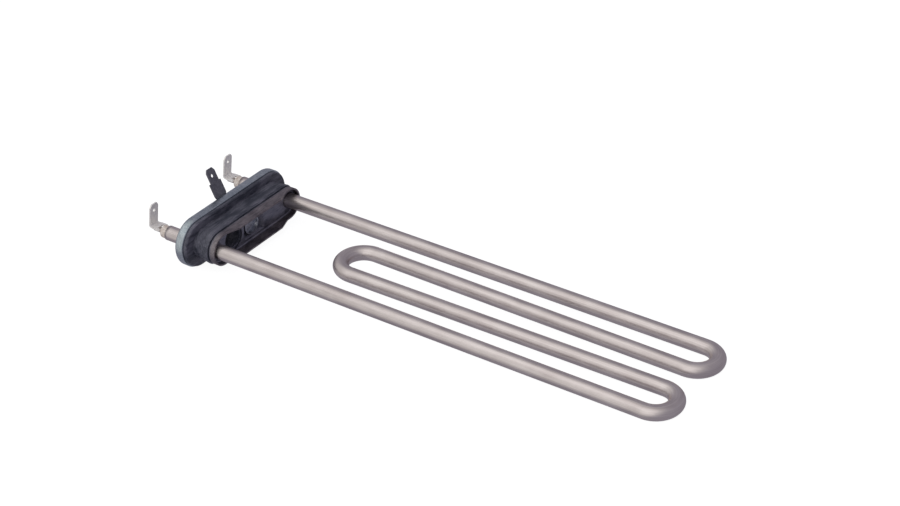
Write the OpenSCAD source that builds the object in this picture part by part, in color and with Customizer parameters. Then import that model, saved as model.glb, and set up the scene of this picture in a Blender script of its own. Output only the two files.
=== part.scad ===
// Tubular heating element of a washing machine, with four long runs and an oval clamp flange.
// The tube's two ends pass through an outer plate, a rubber gasket and an inner plate. One stud
// and nut pull the plates together, so that the rubber swells and seals the hole in the tub.
// The origin is the centre of the outer plate's rim, in the plane of the rim's front edge.
// X runs along the tubes towards their far bends, Y across the flange and Z up. Millimetres.

/* [Heater tube] */
// Outside diameter of the sheath
tube_d = 8; // [6.5:0.1:8.5]
// Wall of the sheath
sheath_wall = 0.8; // [0.5:0.1:1]
// Distance between the two outer runs
run_spacing = 61.2; // [59:0.1:62]
// From the rim plane to the centres of the far bends
far_bend_x = 265.7; // [180:0.1:340]
// From the rim plane to the centre of the near bend
near_bend_x = 84.4; // [50:0.1:120]
// Centre-line radius of the far bends
far_bend_r = 10.5; // [9:0.1:11.5]
// Centre-line radius of the near bend
near_bend_r = 11.4; // [9.5:0.1:13]
// Length of sheath behind the outer plate
sheath_tail = 13; // [9:0.1:25]

/* [Inside the tube] */
// Diameter of the cold pins
pin_d = 3; // [2:0.1:3.2]
// Length of each cold pin inside the sheath
pin_inside_l = 64; // [40:1:75]
// Outside diameter of the coiled resistance wire
coil_d = 4.4; // [3.9:0.1:4.8]
// Length of pin that the coil is wound on
coil_grip_l = 6; // [3:0.5:12]
// Depth of the sealing plug in each end
seal_depth = 6; // [2:0.5:12]

/* [Terminals] */
// Length of the insulating bead
bead_l = 4; // [2.5:0.1:5]
// Diameter of the insulating bead
bead_d = 7; // [6:0.1:8]
// Width of a push-on tab
tab_w = 6.3; // [4.8:0.1:7]
// Thickness of the tab strip
tab_t = 0.8; // [0.5:0.1:1]
// Height of the terminal's tip above the tube's axis
tab_top = 14.9; // [12:0.1:20]
// Diameter of the hole in a tab
tab_hole_d = 1.9; // [1:0.1:2.4]
// From a tab's tip to the centre of its hole
tab_hole_back = 4.2; // [3:0.1:5]
// Length of the strip that is welded to the pin
weld_l = 7; // [6:0.1:10]
// Width of the strip beside the bead
prong_w = 7.2; // [6.6:0.1:9]
// Forward lean of the tab
tab_lean = 6.8; // [0:0.1:15]

/* [Outer plate] */
// Length of the oval across the tubes
flange_w = 85.2; // [80:0.1:96]
// Height of the oval
flange_h = 27.4; // [24:0.1:32]
// Depth from the plate's back to the front edge of its rim
rim_depth = 5.8; // [4:0.1:9]
// Sheet thickness of the outer plate
outer_sheet = 1.5; // [1:0.1:2.2]
// Outside radius of the folded edge
fold_r = 2.4; // [1.8:0.1:3]
// Height of the collar round each tube
collar_h = 1.4; // [0.5:0.1:3]

/* [Gasket] */
// Thickness of the lip in front of the rim
lip_t = 2; // [1:0.1:3]
// Step from the rim's outside in to the lip
lip_inset = 0.8; // [0.3:0.1:1.4]
// Distance from the rim plane to the gasket's front face
gasket_front = 11.7; // [10:0.1:18]
// Step from the inner plate's outside out to the gasket's front edge
front_step = 0.5; // [0:0.1:1.2]
// Step from the gasket's front edge in to its waist, where the tub's edge lies
waist_step = 0.9; // [0.3:0.1:1.2]
// Length of the waist in front of the lip
waist_l = 1.5; // [0.5:0.1:3]
// Diameter of the sensor's hole
sensor_bore_d = 12; // [8:0.1:12.4]
// Distance from the middle of the flange to the sensor's hole
sensor_offset = 16; // [15.6:0.1:17]
// Length of the sensor sleeve behind the outer plate
sleeve_l = 3.2; // [2:0.1:6]
// Wall of the sensor sleeve
sleeve_wall = 1.6; // [1.2:0.1:1.8]

/* [Inner plate] */
// Length of the oval across the tubes
inner_w = 72.8; // [72.2:0.1:76]
// Height of the oval
inner_h = 18; // [17:0.1:19]
// Sheet thickness of the inner plate
inner_sheet = 0.9; // [0.6:0.1:1.2]
// Depth of the walls in the middle
wall_depth = 7; // [5:0.1:9]
// Depth of the walls at the ends
wall_end_depth = 4.4; // [2.5:0.1:4.5]
// Distance from the middle at which the walls start to run down
ramp_start = 17; // [12:0.1:20]
// Distance from the middle at which the walls have run down
ramp_end = 25; // [21:0.1:28]
// Diameter of the sensor's hole in the inner plate
inner_hole_d = 13.8; // [12.8:0.1:14]
// Length of the stud pocket across the flange
pocket_w = 16.4; // [14:0.1:16.8]
// Shift of the stud pocket away from the sensor's hole
pocket_shift = 0.8; // [0.7:0.1:1.2]
// Height of the stud pocket
pocket_h = 12.6; // [12:0.1:13.2]
// Depth of the stud pocket
pocket_depth = 3; // [2:0.1:4]

/* [Clamp stud] */
// Diameter of the stud's shank
stud_d = 6; // [4:0.1:6.5]
// Height of the stud's head, which widens with the pocket that it sits in
head_h = 2.4; // [1.5:0.1:3]
// Wall round the hollow in the stud's head
head_wall = 0.7; // [0.5:0.1:1.2]
// Length of stud behind the nut
stud_free_l = 2.6; // [1:0.1:8]
// Distance across the nut's flats
nut_af = 10; // [9.5:0.1:13]
// Height of the nut
nut_h = 5; // [3:0.1:7]
// Thickness of the lock washer
washer_t = 0.7; // [0.5:0.1:1.2]

/* [Earth tab] */
// Distance of the earth tab's bend above the stud
earth_bend_z = 10.8; // [10:0.1:14]
// Backward lean of the earth tab
earth_lean = 27; // [0:1:45]
// Offset of the earth tab to the side of the stud
earth_offset = 1.3; // [0:0.1:2.4]
// Length of the earth tab beyond its bend
earth_l = 17.4; // [14:0.1:20]
// Width of the earth tab below its shoulders
earth_body_w = 8.6; // [7.5:0.1:10]
// Wall of the eye round the stud
eye_wall = 3; // [2.5:0.1:3.2]

/* [Hidden] */
$fn = 64;
// Clearances, each between two pieces that fit together
plate_fit = 0.05;
rubber_fit = 0.02;
inner_fit = 0.4;
thread_fit = 0.05;
head_fit = 0.1;
pin_fit = 0.05;
// The inner runs are slimmer by this much, and reach this far into the bends that they join
run_relief = 0.02;
run_lap = 0.1;
// A cut runs this far past the face that it opens
past = 1;

// Tube and bends
tube_r = tube_d / 2;
fill_r = tube_r - sheath_wall;
run_y = run_spacing / 2;
plate_back = -rim_depth;
tail_x = plate_back - sheath_tail;
bend_gap = far_bend_x - near_bend_x;
bend_offset = run_y - far_bend_r;
bend_sum = far_bend_r + near_bend_r;
// The inner runs lean in by this angle, because they touch a far bend and the near bend
splay = asin(bend_sum / sqrt(bend_gap * bend_gap + bend_offset * bend_offset))
    - atan2(bend_offset, bend_gap);
inner_run_l = (bend_gap - bend_sum * sin(splay)) / cos(splay);

// Pins, coil and terminals
pin_r = pin_d / 2;
coil_r = coil_d / 2;
pin_front = tail_x + pin_inside_l;
coil_start = pin_front - coil_grip_l;
bead_back = tail_x - bead_l;
weld_front = bead_back;
weld_flat_z = pin_r - 0.2;
strip_bend_r = 0.6 + tab_t;
corner_x = weld_front - weld_l;
pin_back = corner_x + strip_bend_r;
tab_l = (tab_top - weld_flat_z - strip_bend_r) / cos(tab_lean);

// Flange
flange_r = flange_h / 2;
flange_end = flange_w / 2 - flange_r;
floor_front = plate_back + outer_sheet;
inner_r = inner_h / 2;
inner_end = inner_w / 2 - inner_r;
inner_floor = gasket_front + inner_sheet;
body_r = inner_r + front_step;
waist_r = body_r - waist_step;
sleeve_r = sensor_bore_d / 2 + sleeve_wall;

// Stud, from the bottom of its pocket back to its end
stud_r = stud_d / 2;
pocket_slope = 0.7 * pocket_depth;
head_seat = inner_floor - pocket_depth;
head_base_r = pocket_h / 2 - pocket_slope - head_fit;
earth_back = plate_back - tab_t;
washer_back = earth_back - washer_t;
nut_back = washer_back - nut_h;
stud_back = nut_back - stud_free_l;

// A round section drawn along the whole centre line, from one end of the tube to the other.
// The first child is the section, and the second is the slimmer one of the two inner runs.
module along_tube(start_x) {
    for (side = [0, 1])
        mirror([0, side, 0]) {
            along_x(start_x, far_bend_x, -run_y)
                children(0);
            translate([far_bend_x, far_bend_r - run_y, 0])
                rotate([0, 0, -90])
                    rotate_extrude(angle = 180 + splay)
                        translate([far_bend_r, 0])
                            children(0);
            translate([near_bend_x + near_bend_r * sin(splay), -near_bend_r * cos(splay), 0])
                rotate([0, 0, splay])
                    along_x(-run_lap, inner_run_l + run_lap)
                        children(1);
        }
    translate([near_bend_x, 0, 0])
        rotate([0, 0, 90 - splay])
            rotate_extrude(angle = 180 + 2 * splay)
                translate([near_bend_r, 0])
                    children(0);
}

// A flat section, with Y to the right and Z up, drawn out along X
module along_x(x0, x1, y = 0, z = 0) {
    translate([x0, y, z])
        rotate([90, 0, 90])
            linear_extrude(height = x1 - x0)
                children();
}

// A flat shape with X and Z as its two axes, drawn out evenly across Y
module across_y(width) {
    rotate([90, 0, 0])
        linear_extrude(height = width, center = true)
            children();
}

module ring(outer_r, inner_r) {
    difference() {
        circle(r = outer_r);
        circle(r = inner_r);
    }
}

// Half a section, with the radius to the right and X up, taken round the oval
module oval(end_y) {
    for (side = [0, 1])
        mirror([0, side, 0])
            translate([0, end_y, 0])
                rotate([0, 90, 0])
                    rotate_extrude(angle = 180)
                        children();
    rotate([-90, 0, 0])
        rotate([0, 0, -90])
            linear_extrude(height = 2 * end_y, center = true) {
                children();
                mirror([1, 0])
                    children();
            }
}

// Half section of a block with a rounded back edge
module dish_section(r, back, front, edge_r) {
    translate([0, back])
        square([r - edge_r, front - back]);
    translate([0, back + edge_r])
        square([r, front - back - edge_r]);
    translate([r - edge_r, back + edge_r])
        circle(r = edge_r);
}

// Cut that takes the sharp corner off a half section, at the given radius and X
module corner_cut(r, x, size) {
    polygon([[r - size, x], [r, x - size], [r + size, x], [r, x + size]]);
}

// Outline of a push-on tab that starts at the origin and points up
module tab_outline(length) {
    tip_cut = 1.2;
    tip_slope = 1.8;
    difference() {
        polygon([
            [-tab_w / 2, 0],
            [tab_w / 2, 0],
            [tab_w / 2, length - tip_slope],
            [tab_w / 2 - tip_cut, length],
            [tip_cut - tab_w / 2, length],
            [-tab_w / 2, length - tip_slope]
        ]);
        translate([0, length - tab_hole_back])
            circle(d = tab_hole_d);
    }
}

module heating_tube() {
    color([0.72, 0.68, 0.66])
        along_tube(tail_x) {
            ring(tube_r, fill_r);
            ring(tube_r - run_relief, fill_r + run_relief);
        }
}

module insulation_core() {
    color([0.93, 0.92, 0.88]) {
        along_tube(coil_start) {
            ring(fill_r, coil_r);
            ring(fill_r - run_relief, coil_r + run_relief);
        }
        along_tube(pin_front) {
            circle(r = pin_r);
            circle(r = pin_r - run_relief);
        }
        for (side = [-1, 1])
            along_x(tail_x + seal_depth, coil_start, side * run_y)
                ring(fill_r, pin_r);
    }
}

// The wire's turns lie so close that their envelope is a plain sleeve
module resistance_coil() {
    color([0.55, 0.5, 0.45])
        along_tube(coil_start) {
            ring(coil_r, pin_r);
            ring(coil_r - run_relief, pin_r + run_relief);
        }
}

module cold_pin(side) {
    color([0.75, 0.73, 0.7])
        difference() {
            along_x(pin_back, pin_front, side * run_y)
                circle(r = pin_r);
            translate([pin_back - past, side * run_y - pin_r, weld_flat_z])
                cube([weld_front - pin_back + past, pin_d, pin_r]);
        }
}

module end_seal(side) {
    color([0.85, 0.8, 0.72])
        along_x(tail_x, tail_x + seal_depth, side * run_y)
            ring(fill_r, pin_r);
}

module insulator_bead(side) {
    bead_r = bead_d / 2;
    bore_r = pin_r + pin_fit;
    round_r = 1.2;
    color([0.86, 0.79, 0.7])
        translate([tail_x, side * run_y, 0])
            rotate([0, -90, 0])
                rotate_extrude()
                    difference() {
                        union() {
                            square([bead_r, bead_l - round_r]);
                            square([bead_r - round_r, bead_l]);
                            translate([bead_r - round_r, bead_l - round_r])
                                circle(r = round_r);
                        }
                        square([bore_r, bead_l + past]);
                    }
}

// Points along an arc, from one angle to another
function arc(x, z, r, from, to, steps = 8) = [
    for (i = [0 : steps])
        let (angle = from + (to - from) * i / steps)
            [x + r * cos(angle), z + r * sin(angle)]
];

// Side view of the strip, which runs back along the pin and then turns up into the tab
module terminal_side() {
    bend_x = corner_x + strip_bend_r;
    bend_z = weld_flat_z + strip_bend_r;
    turn_end = 180 - tab_lean;
    outer = arc(bend_x, bend_z, strip_bend_r, 270, turn_end);
    inner = arc(bend_x, bend_z, strip_bend_r - tab_t, turn_end, 270);
    rise = tab_l * [sin(tab_lean), cos(tab_lean)];
    polygon(concat(
        outer,
        [outer[len(outer) - 1] + rise, inner[0] + rise],
        inner,
        [[weld_front, weld_flat_z + tab_t], [weld_front, weld_flat_z]]
    ));
}

module terminal(side) {
    notch_w = 4.4;
    notch_l = 2;
    taper_l = 2.2;
    bend_x = corner_x + strip_bend_r;
    bend_z = weld_flat_z + strip_bend_r;
    flat_top = weld_flat_z + tab_t;
    color([0.82, 0.8, 0.76])
        translate([0, side * run_y, 0])
            difference() {
                intersection() {
                    across_y(prong_w)
                        terminal_side();
                    union() {
                        along_x(corner_x - past, weld_front)
                            translate([0, flat_top])
                                tab_outline(tab_top - flat_top);
                        linear_extrude(height = bend_z)
                            polygon([
                                [corner_x - past, -tab_w / 2],
                                [bend_x, -tab_w / 2],
                                [bend_x + taper_l, -prong_w / 2],
                                [weld_front + past, -prong_w / 2],
                                [weld_front + past, prong_w / 2],
                                [bend_x + taper_l, prong_w / 2],
                                [bend_x, tab_w / 2],
                                [corner_x - past, tab_w / 2]
                            ]);
                    }
                }
                translate([weld_front - notch_l, -notch_w / 2, 0])
                    cube([notch_l + past, notch_w, bend_z]);
            }
}

module outer_plate() {
    hole_r = tube_r + plate_fit;
    edge_cut = 0.3;
    color([0.5, 0.56, 0.62])
        difference() {
            union() {
                oval(flange_end)
                    difference() {
                        dish_section(flange_r, plate_back, 0, fold_r);
                        dish_section(flange_r - outer_sheet, floor_front, past, fold_r - outer_sheet);
                        corner_cut(flange_r, 0, edge_cut);
                    }
                for (side = [-1, 1])
                    along_x(plate_back - collar_h, floor_front, side * run_y)
                        circle(r = hole_r + outer_sheet);
            }
            for (side = [-1, 1])
                along_x(plate_back - collar_h - past, past, side * run_y)
                    circle(r = hole_r);
            along_x(plate_back - past, past, -sensor_offset)
                circle(r = sleeve_r + rubber_fit);
            along_x(plate_back - past, past)
                circle(r = stud_r + thread_fit);
        }
}

module gasket() {
    sleeve_lip = 1.1;
    sleeve_lip_t = 1.6;
    edge_cut = 0.5;
    flare_start = lip_t + waist_l;
    sleeve_back = plate_back - sleeve_l;
    color([0.2, 0.21, 0.25])
        difference() {
            union() {
                oval(flange_end)
                    dish_section(
                        flange_r - outer_sheet - rubber_fit, floor_front, 0, fold_r - outer_sheet);
                oval(flange_end)
                    difference() {
                        square([flange_r - lip_inset, lip_t]);
                        corner_cut(flange_r - lip_inset, lip_t, edge_cut);
                    }
                oval(inner_end)
                    polygon([
                        [0, 0],
                        [waist_r, 0],
                        [waist_r, flare_start],
                        [body_r, gasket_front - 2 * edge_cut],
                        [body_r - edge_cut, gasket_front],
                        [0, gasket_front]
                    ]);
                along_x(sleeve_back, floor_front, -sensor_offset)
                    circle(r = sleeve_r);
                along_x(sleeve_back, plate_back - sleeve_l + sleeve_lip_t, -sensor_offset)
                    circle(r = sleeve_r + sleeve_lip);
            }
            for (side = [-1, 1])
                along_x(floor_front - past, gasket_front + past, side * run_y)
                    circle(r = tube_r + rubber_fit);
            along_x(sleeve_back - past, gasket_front + past, -sensor_offset)
                circle(d = sensor_bore_d);
            along_x(floor_front - past, gasket_front + past)
                circle(r = stud_r + thread_fit);
            stud_pocket(rubber_fit + inner_sheet);
        }
}

// Wedge-sided hollow for the stud's head, grown by the thickness of the sheet round it
module stud_pocket(grow) {
    front = inner_floor;
    back = head_seat - grow;
    translate([0, pocket_shift, 0])
        intersection() {
            linear_extrude(height = pocket_h + 2 * grow, center = true)
                wedge(pocket_w, grow, back, front);
            across_y(pocket_w + 2 * grow)
                wedge(pocket_h, grow, back, front);
        }
}

// Side view of the hollow, from its narrow back to its open front
module wedge(width, grow, back, front) {
    wide = width / 2 + grow;
    polygon([
        [back, pocket_slope - wide],
        [front, -wide],
        [front + past, -wide],
        [front + past, wide],
        [front, wide],
        [back, wide - pocket_slope]
    ]);
}

module inner_plate() {
    corner_r = 1.8;
    front = gasket_front + wall_depth;
    end_front = gasket_front + wall_end_depth;
    color([0.5, 0.46, 0.44])
        difference() {
            union() {
                oval(inner_end)
                    difference() {
                        dish_section(inner_r, gasket_front, front, corner_r);
                        dish_section(
                            inner_r - inner_sheet, inner_floor, front + past, corner_r - inner_sheet);
                    }
                intersection() {
                    stud_pocket(inner_sheet);
                    translate([head_seat - inner_sheet, -pocket_w, -pocket_h])
                        cube([pocket_depth + inner_sheet, 2 * pocket_w, 2 * pocket_h]);
                }
            }
            stud_pocket(0);
            for (side = [-1, 1]) {
                along_x(gasket_front - past, inner_floor + past, side * run_y)
                    circle(r = tube_r + inner_fit);
                linear_extrude(height = inner_h + 2 * past, center = true)
                    polygon([
                        [front, side * ramp_start],
                        [end_front, side * ramp_end],
                        [end_front, side * inner_w],
                        [front + past, side * inner_w],
                        [front + past, side * ramp_start]
                    ]);
            }
            along_x(gasket_front - past, inner_floor + past, -sensor_offset)
                circle(d = inner_hole_d);
            along_x(head_seat - inner_sheet - past, head_seat + past)
                circle(r = stud_r + thread_fit);
        }
}

module clamp_stud() {
    edge_h = 0.4;
    rim_back = head_seat + head_h - edge_h;
    rim_r = head_base_r + pocket_slope * (head_h - edge_h) / pocket_depth;
    dish_r = rim_r - head_wall;
    dish_floor = head_seat + head_h / 3;
    dish_slope = 0.6;
    end_cut = 0.6;
    color([0.62, 0.62, 0.64])
        rotate([0, 90, 0])
            rotate_extrude()
                polygon([
                    [0, stud_back],
                    [stud_r - end_cut, stud_back],
                    [stud_r, stud_back + end_cut],
                    [stud_r, head_seat],
                    [head_base_r, head_seat],
                    [rim_r, rim_back],
                    [rim_r, head_seat + head_h],
                    [dish_r, head_seat + head_h],
                    [dish_r - dish_slope, dish_floor],
                    [0, dish_floor]
                ]);
}

module earth_tab() {
    eye_r = stud_r + eye_wall;
    neck_w = tab_w + 0.4;
    upper_l = 7.8;
    neck_l = 2.4;
    body_l = earth_l - upper_l;
    color([0.3, 0.3, 0.33]) {
        along_x(earth_back, plate_back)
            difference() {
                union() {
                    circle(r = eye_r);
                    translate([-neck_w / 2 - earth_offset, 0])
                        square([neck_w, earth_bend_z]);
                }
                circle(r = stud_r + thread_fit);
            }
        translate([plate_back, -earth_offset, earth_bend_z]) {
            rotate([90, 0, 0])
                translate([0, 0, -neck_w / 2])
                    rotate([0, 0, 180 - earth_lean])
                        rotate_extrude(angle = earth_lean)
                            square([tab_t, neck_w]);
            rotate([0, -earth_lean, 0])
                along_x(-tab_t, 0)
                    earth_outline(neck_w, neck_l, body_l, upper_l);
        }
    }
}

// The part beyond the bend: a neck that widens into a body, two shoulders and the push-on tab
module earth_outline(neck_w, neck_l, body_l, upper_l) {
    polygon([
        [-neck_w / 2, 0],
        [neck_w / 2, 0],
        [earth_body_w / 2, neck_l],
        [earth_body_w / 2, body_l],
        [-earth_body_w / 2, body_l],
        [-earth_body_w / 2, neck_l]
    ]);
    translate([0, body_l])
        tab_outline(upper_l);
}

module lock_washer() {
    teeth = 12;
    washer_r = nut_af / 2 + 0.6;
    tooth_l = 1.2;
    color([0.6, 0.62, 0.64])
        along_x(washer_back, earth_back)
            difference() {
                ring(washer_r, stud_r + thread_fit);
                for (i = [0 : teeth - 1])
                    rotate(i * 360 / teeth)
                        translate([washer_r, 0])
                            rotate(45)
                                square(tooth_l, center = true);
            }
}

module clamp_nut() {
    corner_r = nut_af / 2 / cos(30);
    chamfer = 0.5;
    color([0.62, 0.64, 0.66])
        translate([nut_back, 0, 0])
            rotate([0, 90, 0])
                difference() {
                    intersection() {
                        cylinder(r = corner_r, h = nut_h, $fn = 6);
                        rotate_extrude()
                            polygon([
                                [0, 0],
                                [corner_r - 2 * chamfer, 0],
                                [corner_r, chamfer],
                                [corner_r, nut_h - chamfer],
                                [corner_r - 2 * chamfer, nut_h],
                                [0, nut_h]
                            ]);
                    }
                    translate([0, 0, -past])
                        cylinder(r = stud_r + thread_fit, h = nut_h + 2 * past);
                }
}

heating_tube();
insulation_core();
resistance_coil();
cold_pin(-1);  // cold_pin_left
cold_pin(1);  // cold_pin_right
end_seal(-1);  // end_seal_left
end_seal(1);  // end_seal_right
insulator_bead(-1);  // insulator_bead_left
insulator_bead(1);  // insulator_bead_right
terminal(-1);  // terminal_left
terminal(1);  // terminal_right
outer_plate();
gasket();
inner_plate();
clamp_stud();
earth_tab();
lock_washer();
clamp_nut();
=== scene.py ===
import math

import bmesh
import bpy
from mathutils import Matrix, Vector


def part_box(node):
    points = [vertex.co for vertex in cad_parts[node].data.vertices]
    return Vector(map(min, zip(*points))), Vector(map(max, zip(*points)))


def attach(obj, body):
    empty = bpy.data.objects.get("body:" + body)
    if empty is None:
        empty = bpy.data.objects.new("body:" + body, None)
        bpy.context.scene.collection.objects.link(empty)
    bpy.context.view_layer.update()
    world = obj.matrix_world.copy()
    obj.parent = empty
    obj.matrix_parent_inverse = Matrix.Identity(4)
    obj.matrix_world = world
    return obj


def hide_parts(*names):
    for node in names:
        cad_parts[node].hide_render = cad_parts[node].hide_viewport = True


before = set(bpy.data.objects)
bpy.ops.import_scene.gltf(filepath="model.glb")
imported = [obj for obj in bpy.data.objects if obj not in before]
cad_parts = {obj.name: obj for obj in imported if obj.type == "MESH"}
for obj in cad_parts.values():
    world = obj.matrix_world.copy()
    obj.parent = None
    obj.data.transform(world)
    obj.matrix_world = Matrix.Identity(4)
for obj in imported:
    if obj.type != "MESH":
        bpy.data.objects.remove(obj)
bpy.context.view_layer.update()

# Sizes of the bent tube, in metres
TUBE_R = 0.004
SHEATH_WALL = 0.0008
RUN_Y = 0.0306
FAR_BEND_X = 0.2657
NEAR_BEND_X = 0.0844
FAR_BEND_R = 0.0105
NEAR_BEND_R = 0.0114
TAIL_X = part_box("heating_tube")[0][0]

# In a bend the tube is pressed a little wider in its plane and flatter across it
BEND_WIDER = 0.00018
BEND_FLATTER = 0.00010
BEND_BLEND = 0.006

# Steps of the swept skin, and the lengths that its texture coordinates stand for
AROUND = 48
OUTER_RUN_STEPS = 140
FAR_BEND_STEPS = 64
INNER_RUN_STEPS = 90
NEAR_BEND_STEPS = 36
END_DEPTH = 0.003
UV_GIRTH = 0.025
END_UV = 0.001

# The cup's steel turns from the painted shade of its floor to its walls' tone over this distance from
# the floor
CUP_FLOOR_X = 0.0127
CUP_SHADE_FADE = 0.0012

# The camera of the photograph, worked out from the tube's outline
CAMERA_AT = (0.63256, -0.72694, 0.57744)
CAMERA_AZIMUTH = 34.219
CAMERA_ELEVATION = 32.120
CAMERA_ROLL = -0.494
CAMERA_LENS = 84.32
SENSOR_WIDTH = 36


# Small helpers for node materials
def new_material(name):
    material = bpy.data.materials.new(name)
    material.use_nodes = True
    tree = material.node_tree
    shader = tree.nodes["Principled BSDF"]
    return material, tree, shader


def coordinates(tree, kind, scale=(1, 1, 1)):
    source = tree.nodes.new("ShaderNodeTexCoord")
    mapping = tree.nodes.new("ShaderNodeMapping")
    mapping.inputs["Scale"].default_value = scale
    tree.links.new(source.outputs[kind], mapping.inputs["Vector"])
    return mapping.outputs["Vector"]


def noise(tree, vector, scale, detail=3.0, roughness=0.5):
    node = tree.nodes.new("ShaderNodeTexNoise")
    node.inputs["Scale"].default_value = scale
    node.inputs["Detail"].default_value = detail
    node.inputs["Roughness"].default_value = roughness
    tree.links.new(vector, node.inputs["Vector"])
    return node.outputs["Fac"]


def spread(tree, value, low, high, to_low=0.0, to_high=1.0):
    node = tree.nodes.new("ShaderNodeMapRange")
    node.inputs["From Min"].default_value = low
    node.inputs["From Max"].default_value = high
    node.inputs["To Min"].default_value = to_low
    node.inputs["To Max"].default_value = to_high
    tree.links.new(value, node.inputs["Value"])
    return node.outputs["Result"]


def mix_colors(tree, factor, first, second):
    node = tree.nodes.new("ShaderNodeMix")
    node.data_type = "RGBA"
    tree.links.new(factor, node.inputs["Factor"])
    for socket, color in (("A", first), ("B", second)):
        port = next(i for i in node.inputs if i.name == socket and i.type == "RGBA")
        if isinstance(color, bpy.types.NodeSocket):
            tree.links.new(color, port)
        else:
            port.default_value = (*color, 1)
    return next(o for o in node.outputs if o.type == "RGBA")


def math_node(tree, operation, first, second):
    node = tree.nodes.new("ShaderNodeMath")
    node.operation = operation
    for port, value in zip(node.inputs, (first, second)):
        if isinstance(value, bpy.types.NodeSocket):
            tree.links.new(value, port)
        else:
            port.default_value = value
    return node.outputs["Value"]


def add_bump(tree, shader, height, distance, strength=1.0):
    node = tree.nodes.new("ShaderNodeBump")
    node.inputs["Distance"].default_value = distance
    node.inputs["Strength"].default_value = strength
    tree.links.new(height, node.inputs["Height"])
    tree.links.new(node.outputs["Normal"], shader.inputs["Normal"])
    return node


# Materials
def sheath_steel():
    material, tree, shader = new_material("sheath_steel")
    along = coordinates(tree, "UV", (4, 600, 1))
    patches = coordinates(tree, "UV", (22, 60, 1))
    grain = noise(tree, along, 3.0, 4.0, 0.6)
    patch = noise(tree, patches, 3.0, 3.0)
    tone = spread(tree, math_node(tree, "ADD", grain, patch), 0.74, 1.26)
    color = mix_colors(tree, tone, (0.54, 0.48, 0.47), (0.73, 0.67, 0.655))
    tree.links.new(color, shader.inputs["Base Color"])
    tree.links.new(spread(tree, patch, 0.3, 0.7, 0.34, 0.44), shader.inputs["Roughness"])
    shader.inputs["Metallic"].default_value = 1.0
    add_bump(tree, shader, grain, 0.00002)
    return material


def plain_metal(name, dark, light, rough, grain_scale=900, bump=0.00001):
    material, tree, shader = new_material(name)
    fine = coordinates(tree, "Object")
    grain = noise(tree, fine, grain_scale, 4.0, 0.6)
    patch = noise(tree, fine, 120, 5.0, 0.65)
    tone = spread(tree, math_node(tree, "ADD", grain, patch), 0.8, 1.2)
    tree.links.new(mix_colors(tree, tone, dark, light), shader.inputs["Base Color"])
    wear = spread(tree, patch, 0.3, 0.7, rough - 0.06, rough + 0.06)
    tree.links.new(wear, shader.inputs["Roughness"])
    shader.inputs["Metallic"].default_value = 1.0
    add_bump(tree, shader, grain, bump)
    return material


def gasket_rubber():
    material, tree, shader = new_material("gasket_rubber")
    streaks = noise(tree, coordinates(tree, "Object", (7, 0.8, 4)), 150, 6.0, 0.75)
    clouds = noise(tree, coordinates(tree, "Object", (2, 0.6, 1.5)), 90, 3.0)
    dust = math_node(tree, "ADD", streaks, clouds)
    color = mix_colors(tree, spread(tree, dust, 0.88, 1.28), (0.030, 0.034, 0.052), (0.17, 0.168, 0.212))
    tree.links.new(color, shader.inputs["Base Color"])
    shader.inputs["Roughness"].default_value = 0.5
    add_bump(tree, shader, streaks, 0.00015)
    return material


def cup_steel():
    """Satin steel with painted shade on the floor of the cup, which is darker and bluer there than on
    its walls.
    """
    material, tree, shader = new_material("cup_steel")
    place = coordinates(tree, "Object")
    split = tree.nodes.new("ShaderNodeSeparateXYZ")
    tree.links.new(place, split.inputs["Vector"])
    # painted shade: this mask gives the floor of the cup its darker, bluer tone
    floor_shade_mask = spread(tree, split.outputs["X"], CUP_FLOOR_X, CUP_FLOOR_X + CUP_SHADE_FADE)
    grain = noise(tree, coordinates(tree, "Object", (1, 0.15, 1)), 1500, 4.0, 0.6)
    patch = noise(tree, place, 140, 4.0, 0.6)
    tone = spread(tree, math_node(tree, "ADD", grain, patch), 0.75, 1.25)
    # painted shade: the floor's darker, bluer copy of the steel's tone
    floor_shade_color = mix_colors(tree, tone, (0.11, 0.115, 0.15), (0.27, 0.27, 0.32))
    wall_color = mix_colors(tree, tone, (0.10, 0.088, 0.10), (0.30, 0.268, 0.285))
    tree.links.new(mix_colors(tree, floor_shade_mask, floor_shade_color, wall_color), shader.inputs["Base Color"])
    tree.links.new(spread(tree, patch, 0.3, 0.7, 0.32, 0.46), shader.inputs["Roughness"])
    shader.inputs["Metallic"].default_value = 0.85
    add_bump(tree, shader, patch, 0.00006)
    return material


def bead_ceramic(name, dark, light):
    material, tree, shader = new_material(name)
    fine = coordinates(tree, "Object")
    speck = noise(tree, fine, 700, 5.0, 0.6)
    color = mix_colors(tree, spread(tree, speck, 0.35, 0.65), dark, light)
    tree.links.new(color, shader.inputs["Base Color"])
    shader.inputs["Roughness"].default_value = 0.6
    add_bump(tree, shader, speck, 0.00003)
    return material


# The tube as one swept skin, with its section pressed wider in the bends
def splay_angle():
    gap = FAR_BEND_X - NEAR_BEND_X
    offset = RUN_Y - FAR_BEND_R
    total = FAR_BEND_R + NEAR_BEND_R
    return math.asin(total / math.hypot(gap, offset)) - math.atan2(offset, gap)


def unit(angle):
    return Vector((math.cos(angle), math.sin(angle)))


def straight_steps(start, heading, length, count, bend_before, bend_after):
    """Points along a straight run, without its two ends: (point, heading, share of the pressing)."""
    steps = []
    for i in range(1, count):
        t = length * i / count
        nearest = min(t if bend_before else length, length - t if bend_after else length)
        share = max(0.0, 1 - nearest / BEND_BLEND) ** 2
        steps.append((start + unit(heading) * t, heading, share))
    return steps


def bend_steps(centre, radius, start, sweep, count):
    steps = []
    turn = math.copysign(math.pi / 2, sweep)
    for i in range(count + 1):
        angle = start + sweep * i / count
        steps.append((centre + unit(angle) * radius, angle + turn, 1.0))
    return steps


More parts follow.
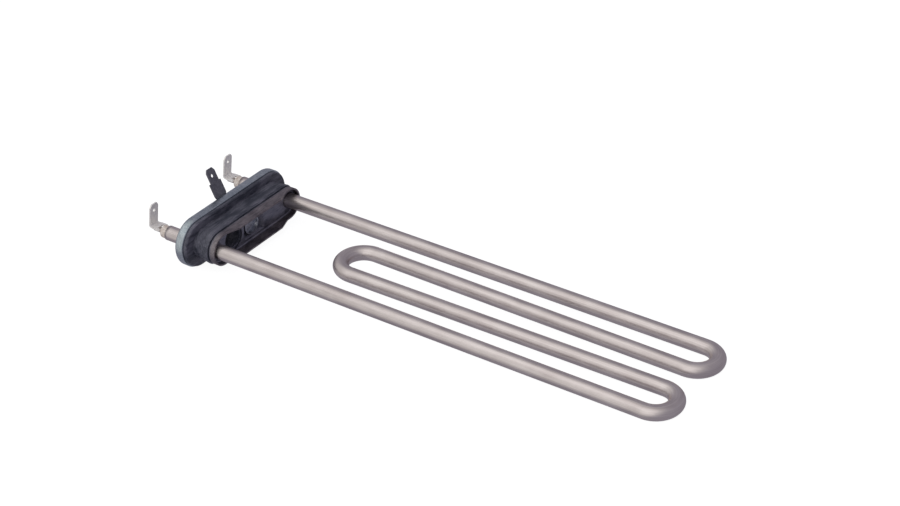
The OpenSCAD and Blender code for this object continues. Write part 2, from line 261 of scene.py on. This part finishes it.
def half_path():
    """Left half of the centre line, from the tube's left end to the middle of the near bend."""
    splay = splay_angle()
    gap = FAR_BEND_X - NEAR_BEND_X
    inner_run = (gap - (FAR_BEND_R + NEAR_BEND_R) * math.sin(splay)) / math.cos(splay)
    start = Vector((TAIL_X, -RUN_Y))
    far = Vector((FAR_BEND_X, FAR_BEND_R - RUN_Y))
    near = Vector((NEAR_BEND_X, 0))
    leave = far + unit(math.pi / 2 + splay) * FAR_BEND_R
    quarter = math.pi / 2
    return (
        [(start, 0.0, 0.0)]
        + straight_steps(start, 0.0, FAR_BEND_X - TAIL_X, OUTER_RUN_STEPS, False, True)
        + bend_steps(far, FAR_BEND_R, -quarter, math.pi + splay, FAR_BEND_STEPS)
        + straight_steps(leave, math.pi + splay, inner_run, INNER_RUN_STEPS, True, True)
        + bend_steps(near, NEAR_BEND_R, splay - quarter, -(quarter + splay), NEAR_BEND_STEPS)
    )


def ring_corners(point, heading, share):
    side = unit(heading + math.pi / 2)
    wide = TUBE_R + BEND_WIDER * share
    high = TUBE_R - BEND_FLATTER * share
    corners = []
    for k in range(AROUND):
        angle = 2 * math.pi * k / AROUND
        corners.append((*(point + side * wide * math.cos(angle)), high * math.sin(angle)))
    return corners


def close_end(y, end, verts, faces, uvs):
    """The open end turns in to the sheath's inside."""
    base = len(verts)
    turn = 1 if end == 0 else -1
    inner_r = TUBE_R - SHEATH_WALL
    for x in (TAIL_X, TAIL_X + END_DEPTH):
        for k in range(AROUND):
            angle = 2 * math.pi * k / AROUND
            verts.append((x, y + turn * inner_r * math.cos(angle), inner_r * math.sin(angle)))
    for k in range(AROUND):
        n = (k + 1) % AROUND
        edge = (end * AROUND + k, base + k, base + n, end * AROUND + n)
        wall = (base + k, base + AROUND + k, base + AROUND + n, base + n)
        for face in (edge, wall):
            faces.append(face)
            uvs += [(0, 0), (END_UV, 0), (END_UV, END_UV), (0, END_UV)]


def build_tube(material):
    rings = half_path()
    for point, heading, share in reversed(rings[:-1]):
        rings.append((Vector((point.x, -point.y)), math.pi - heading, share))
    verts, faces, uvs = [], [], []
    lengths = [0.0]
    for before, after in zip(rings, rings[1:]):
        lengths.append(lengths[-1] + (after[0] - before[0]).length)
    for ring in rings:
        verts += ring_corners(*ring)
    for i in range(len(rings) - 1):
        near, far = lengths[i], lengths[i + 1]
        for k in range(AROUND):
            n = (k + 1) % AROUND
            low, high = UV_GIRTH * k / AROUND, UV_GIRTH * (k + 1) / AROUND
            first, second = i * AROUND, (i + 1) * AROUND
            faces.append((first + k, second + k, second + n, first + n))
            uvs += [(near, low), (far, low), (far, high), (near, high)]
    close_end(-RUN_Y, 0, verts, faces, uvs)
    close_end(RUN_Y, len(rings) - 1, verts, faces, uvs)
    mesh = bpy.data.meshes.new("tube_skin")
    mesh.from_pydata(verts, [], faces)
    mesh.validate()
    layer = mesh.uv_layers.new(name="UVMap")
    for i, uv in enumerate(uvs):
        layer.data[i].uv = uv
    mesh.polygons.foreach_set("use_smooth", [True] * len(mesh.polygons))
    mesh.materials.append(material)
    tube = bpy.data.objects.new("tube_skin", mesh)
    bpy.context.collection.objects.link(tube)
    shape = bmesh.new()
    shape.from_mesh(mesh)
    bmesh.ops.recalc_face_normals(shape, faces=shape.faces)
    shape.to_mesh(mesh)
    shape.free()
    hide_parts("heating_tube")
    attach(tube, "root")
    return tube


def dress(node, material):
    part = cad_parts[node]
    part.data.materials.clear()
    part.data.materials.append(material)


build_tube(sheath_steel())
zinc = plain_metal("zinc_plate", (0.33, 0.385, 0.425), (0.52, 0.575, 0.61), 0.27)
cup = cup_steel()
nickel = plain_metal("terminal_nickel", (0.90, 0.87, 0.83), (0.99, 0.97, 0.94), 0.42)
nickel.node_tree.nodes["Principled BSDF"].inputs["Metallic"].default_value = 0.3
fastener = plain_metal("stud_zinc", (0.25, 0.27, 0.32), (0.5, 0.52, 0.57), 0.28)
# painted shade: the earth tab's steel gets a dark colour that stands in for the shade it stands in
earth = plain_metal("earth_steel", (0.11, 0.11, 0.135), (0.18, 0.18, 0.21), 0.45)
earth.node_tree.nodes["Principled BSDF"].inputs["Metallic"].default_value = 0.5
pin = plain_metal("pin_steel", (0.5, 0.46, 0.42), (0.62, 0.58, 0.54), 0.32)
coil = plain_metal("coil_wire", (0.25, 0.22, 0.2), (0.35, 0.31, 0.28), 0.5)
bead = bead_ceramic("bead_ceramic", (0.58, 0.49, 0.43), (0.86, 0.79, 0.73))
resin = bead_ceramic("seal_resin", (0.5, 0.42, 0.33), (0.62, 0.54, 0.44))
magnesia = bead_ceramic("magnesia", (0.7, 0.69, 0.65), (0.8, 0.79, 0.75))
rubber = gasket_rubber()
LOOKS = {
    "insulation_core": magnesia, "resistance_coil": coil,
    "cold_pin_left": pin, "cold_pin_right": pin,
    "end_seal_left": resin, "end_seal_right": resin,
    "insulator_bead_left": bead, "insulator_bead_right": bead,
    "terminal_left": nickel, "terminal_right": nickel,
    "outer_plate": zinc, "gasket": rubber, "inner_plate": cup,
    "clamp_stud": fastener, "earth_tab": earth, "lock_washer": fastener, "clamp_nut": fastener,
}
for node, material in LOOKS.items():
    dress(node, material)


# The camera at the photograph's place
def camera_axes():
    azimuth, elevation, roll = (math.radians(a) for a in (CAMERA_AZIMUTH, CAMERA_ELEVATION, CAMERA_ROLL))
    back = Vector((
        math.sin(azimuth) * math.cos(elevation),
        -math.cos(azimuth) * math.cos(elevation),
        math.sin(elevation),
    ))
    right = Vector((math.cos(azimuth), math.sin(azimuth), 0))
    up = back.cross(right)
    return (
        right * math.cos(roll) + up * math.sin(roll),
        up * math.cos(roll) - right * math.sin(roll),
        back,
    )


right, up, back = camera_axes()
lens = bpy.data.cameras.new("photo_camera")
lens.lens = CAMERA_LENS
lens.sensor_width = SENSOR_WIDTH
camera = bpy.data.objects.new("photo_camera", lens)
camera.matrix_world = Matrix.Translation(CAMERA_AT) @ Matrix((right, up, back)).transposed().to_4x4()
bpy.context.collection.objects.link(camera)
bpy.context.scene.camera = camera


# The floor touches the flange's lowest edge and the far bends
low_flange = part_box("outer_plate")[0][2]
low_tube = -TUBE_R
flange_x = -0.0015
floor_tilt = math.atan2(low_tube - low_flange, FAR_BEND_X - flange_x)
floor_size = 30
floor_mesh = bpy.data.meshes.new("floor")
half = floor_size / 2
floor_mesh.from_pydata(
    [(-half, -half, 0), (half, -half, 0), (half, half, 0), (-half, half, 0)], [], [(0, 1, 2, 3)])
floor = bpy.data.objects.new("floor", floor_mesh)
floor.location = (flange_x, 0, low_flange - 0.00005)
floor.rotation_euler = (0, -floor_tilt, 0)
bpy.context.collection.objects.link(floor)
paper, paper_tree, paper_shader = new_material("pale_floor")
paper_shader.inputs["Base Color"].default_value = (0.2, 0.2, 0.2, 1)
paper_shader.inputs["Roughness"].default_value = 0.9
paper_shader.inputs["Emission Color"].default_value = (1, 1, 1, 1)
paper_shader.inputs["Emission Strength"].default_value = 0.93
floor_mesh.materials.append(paper)
floor.visible_glossy = False
floor.visible_diffuse = False


def soft_light(name, place, target, size, watts, color=(1, 1, 1)):
    light = bpy.data.lights.new(name, "AREA")
    light.shape = "RECTANGLE"
    light.size, light.size_y = size
    light.energy = watts
    light.color = color
    lamp = bpy.data.objects.new(name, light)
    lamp.location = place
    lamp.rotation_euler = (Vector(target) - Vector(place)).to_track_quat("-Z", "Y").to_euler()
    bpy.context.collection.objects.link(lamp)
    return lamp


middle = (0.13, 0, 0)
soft_light("soft_top", (0.0, -0.6, 1.2), middle, (1.6, 1.2), 3.0)
soft_light("soft_front", (0.3, -1.4, 0.5), middle, (1.4, 0.9), 1.6)

# White tent that is bright above and in front, on the left, and dim behind and below
TENT_MIDDLE = (-0.42, -0.69, 0.59)
TENT_EDGE = (0.28, 0.58)
TENT_DIM = 0.34
TENT_BRIGHT = 0.73
world = bpy.data.worlds.new("studio")
world.use_nodes = True
tent = world.node_tree
way = tent.nodes.new("ShaderNodeTexCoord")
facing = tent.nodes.new("ShaderNodeVectorMath")
facing.operation = "DOT_PRODUCT"
facing.inputs[1].default_value = TENT_MIDDLE
tent.links.new(way.outputs["Generated"], facing.inputs[0])
share = spread(tent, facing.outputs["Value"], *TENT_EDGE)
tent_color = mix_colors(
    tent, share,
    (TENT_DIM * 0.95, TENT_DIM * 0.91, TENT_DIM * 1.06),
    (TENT_BRIGHT, TENT_BRIGHT * 0.99, TENT_BRIGHT * 0.98))
tent.links.new(tent_color, tent.nodes["Background"].inputs["Color"])
bpy.context.scene.world = world
bpy.context.scene.view_settings.view_transform = "Standard"
